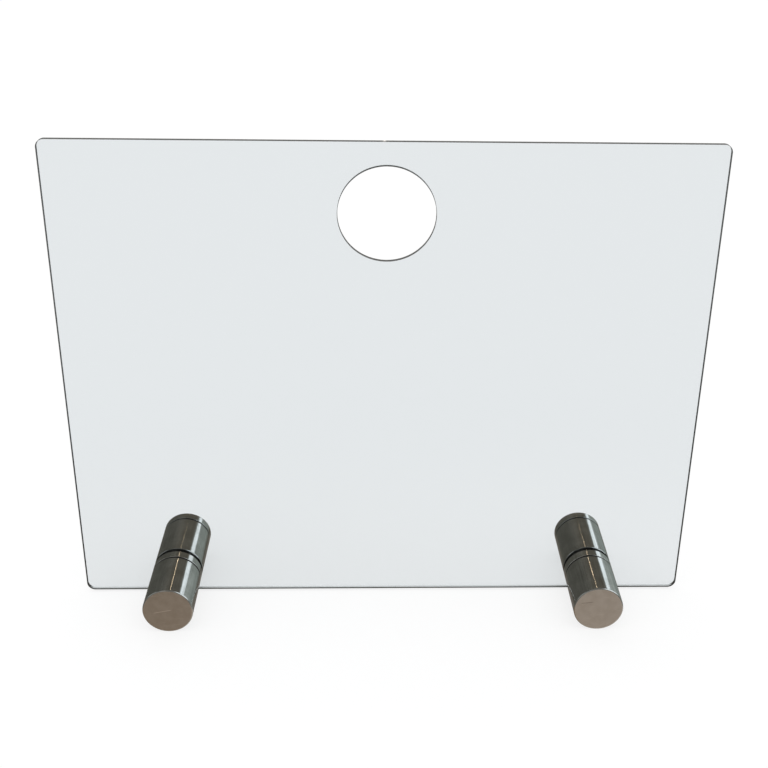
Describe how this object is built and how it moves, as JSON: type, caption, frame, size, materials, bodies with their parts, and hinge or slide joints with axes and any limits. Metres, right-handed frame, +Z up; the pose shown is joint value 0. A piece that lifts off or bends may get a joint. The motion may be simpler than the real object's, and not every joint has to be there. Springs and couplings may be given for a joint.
{
  "type": "sneeze guard",
  "caption": "Clear upright counter guard with rounded corners and a round hand hole, clamped on round turned steel feet that unscrew in front and behind.",
  "frame": {"origin": "on the counter, under the middle of the sheet's thickness and width", "axes": "+X to the right across the sheet, -Y to the front, +Z up"},
  "size_m": [0.61, 0.1336, 0.4765],
  "materials": {
    "clear_sheet": "gloss",
    "turned_steel": "satin",
    "stud_steel": "satin",
    "black_rubber": "matte",
    "white_nylon": "matte"
  },
  "bodies": {
    "guard": {"panel": "clear_sheet", "left_panel_bush": "white_nylon", "left_clamp_stud": "stud_steel", "left_rear_gasket": "black_rubber", "left_rear_barrel": "turned_steel", "right_panel_bush": "white_nylon", "right_clamp_stud": "stud_steel", "right_rear_gasket": "black_rubber", "right_rear_barrel": "turned_steel"},
    "left_front_rings": {"left_front_collar": "turned_steel", "left_front_gasket": "black_rubber", "left_front_seam_washer": "black_rubber"},
    "left_front_foot": {"left_front_barrel": "turned_steel"},
    "left_rear_ring": {"left_rear_seam_washer": "black_rubber"},
    "left_rear_end": {"left_rear_cap": "turned_steel", "left_rear_cap_stud": "stud_steel"},
    "right_front_rings": {"right_front_collar": "turned_steel", "right_front_gasket": "black_rubber", "right_front_seam_washer": "black_rubber"},
    "right_front_foot": {"right_front_barrel": "turned_steel"},
    "right_rear_ring": {"right_rear_seam_washer": "black_rubber"},
    "right_rear_end": {"right_rear_cap": "turned_steel", "right_rear_cap_stud": "stud_steel"}
  },
  "joints": [
    {"name": "left_rings_slide", "type": "slide", "parent": "guard", "child": "left_front_rings", "axis": [0, -1, 0], "range_m": [0, 0.021]},
    {"name": "left_barrel_turn", "type": "hinge", "parent": "left_front_rings", "child": "left_front_foot", "pos_m": [-0.211, -0.04005, 0.0245], "axis": [0, -1, 0], "range_deg": [0, 5040]},
    {"name": "left_washer_slide", "type": "slide", "parent": "guard", "child": "left_rear_ring", "axis": [0, 1, 0], "range_m": [0, 0.015]},
    {"name": "left_cap_turn", "type": "hinge", "parent": "left_rear_ring", "child": "left_rear_end", "pos_m": [-0.211, 0.0623, 0.0245], "axis": [0, 1, 0], "range_deg": [0, 3600]},
    {"name": "right_rings_slide", "type": "slide", "parent": "guard", "child": "right_front_rings", "axis": [0, -1, 0], "range_m": [0, 0.021]},
    {"name": "right_barrel_turn", "type": "hinge", "parent": "right_front_rings", "child": "right_front_foot", "pos_m": [0.211, -0.04005, 0.0245], "axis": [0, -1, 0], "range_deg": [0, 5040]},
    {"name": "right_washer_slide", "type": "slide", "parent": "guard", "child": "right_rear_ring", "axis": [0, 1, 0], "range_m": [0, 0.015]},
    {"name": "right_cap_turn", "type": "hinge", "parent": "right_rear_ring", "child": "right_rear_end", "pos_m": [0.211, 0.0623, 0.0245], "axis": [0, 1, 0], "range_deg": [0, 3600]}
  ],
  "couplings": [
    {"joint": "left_rings_slide", "follows": "left_barrel_turn", "m_per_rad": 0.00023873},
    {"joint": "left_washer_slide", "follows": "left_cap_turn", "m_per_rad": 0.00023873},
    {"joint": "right_rings_slide", "follows": "right_barrel_turn", "m_per_rad": 0.00023873},
    {"joint": "right_washer_slide", "follows": "right_cap_turn", "m_per_rad": 0.00023873}
  ]
}
